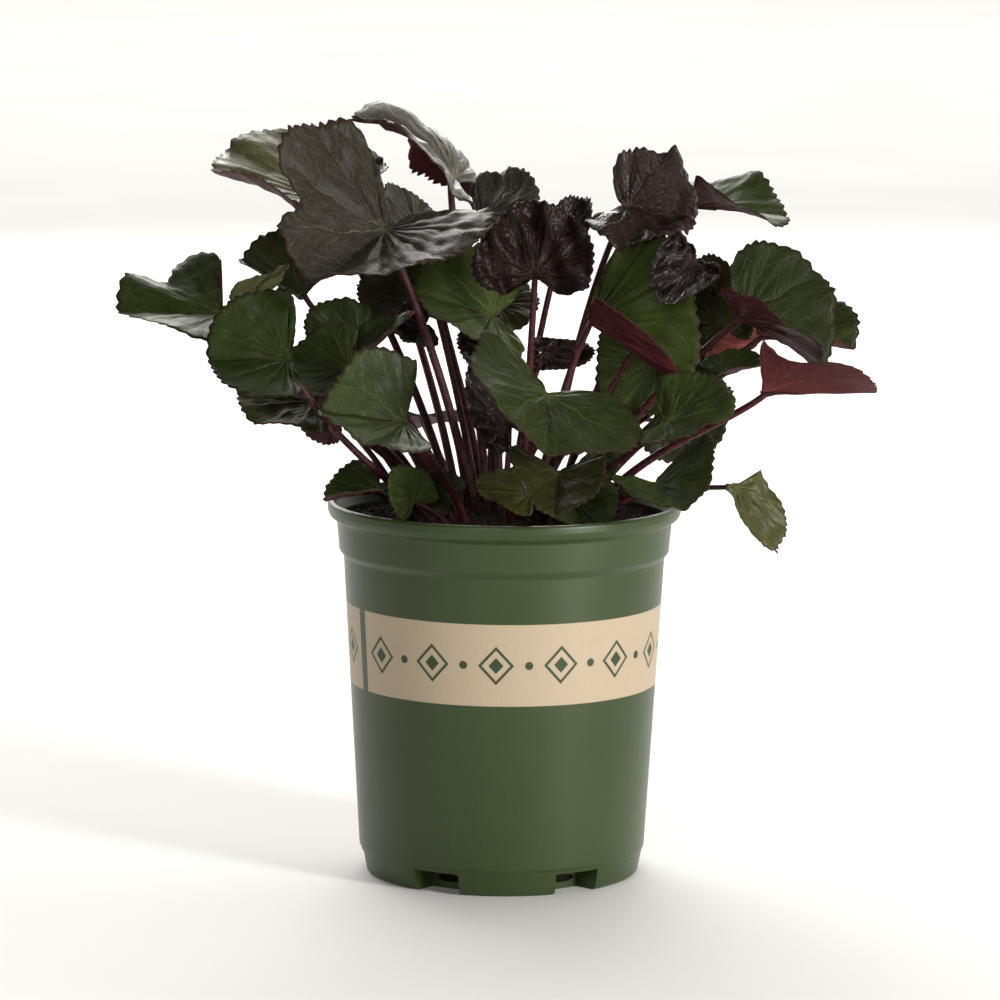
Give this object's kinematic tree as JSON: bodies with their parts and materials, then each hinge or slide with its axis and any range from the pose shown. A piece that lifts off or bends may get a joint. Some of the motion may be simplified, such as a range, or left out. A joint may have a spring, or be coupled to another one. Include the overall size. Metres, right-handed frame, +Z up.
{
  "type": "potted pandora ligularia",
  "caption": "Clump of round, toothed, dark leaves on long stalks, growing from soil in a tapered round nursery pot with a collar, a thick lip and drain pockets round its foot.",
  "frame": {"origin": "centre of the pot's flat underside, where the pot's axis meets the ground", "axes": "+Z up along the pot's axis, -Y towards the picture's viewer, +X to the viewer's right"},
  "size_m": [0.3493, 0.2353, 0.3534],
  "materials": {
    "pot_plastic": "satin",
    "potting_soil": "matte",
    "leaf_green": "satin",
    "leaf_dark": "satin",
    "leaf_grey": "satin",
    "leaf_bronze": "satin",
    "leaf_olive": "satin"
  },
  "bodies": {
    "root": {"pot": "pot_plastic", "soil": "potting_soil", "leaf_01": "leaf_grey", "leaf_02": "leaf_olive", "leaf_03": "leaf_grey", "leaf_04": "leaf_grey", "leaf_05": "leaf_grey", "leaf_06": "leaf_bronze", "leaf_07": "leaf_bronze", "leaf_08": "leaf_bronze", "leaf_09": "leaf_bronze", "leaf_10": "leaf_green", "leaf_11": "leaf_green", "leaf_12": "leaf_green", "leaf_13": "leaf_olive", "leaf_14": "leaf_green", "leaf_15": "leaf_green", "leaf_16": "leaf_green", "leaf_17": "leaf_green", "leaf_18": "leaf_olive", "leaf_19": "leaf_green", "leaf_20": "leaf_bronze", "leaf_21": "leaf_green", "leaf_22": "leaf_olive", "leaf_23": "leaf_green", "leaf_24": "leaf_olive", "leaf_25": "leaf_dark", "leaf_26": "leaf_green", "leaf_27": "leaf_green", "leaf_28": "leaf_dark", "leaf_29": "leaf_dark", "leaf_30": "leaf_green", "leaf_31": "leaf_green", "leaf_32": "leaf_green", "leaf_33": "leaf_olive", "leaf_34": "leaf_bronze", "leaf_35": "leaf_bronze", "leaf_36": "leaf_bronze", "leaf_37": "leaf_olive", "leaf_38": "leaf_green", "leaf_39": "leaf_green", "leaf_40": "leaf_dark", "leaf_41": "leaf_green", "leaf_42": "leaf_olive", "leaf_43": "leaf_olive", "leaf_44": "leaf_green", "leaf_45": "leaf_green", "leaf_46": "leaf_green", "leaf_47": "leaf_dark", "leaf_48": "leaf_green", "leaf_49": "leaf_dark", "leaf_50": "leaf_green", "leaf_51": "leaf_green", "leaf_52": "leaf_green", "leaf_53": "leaf_olive", "leaf_54": "leaf_green", "leaf_55": "leaf_green"}
  },
  "joints": []
}
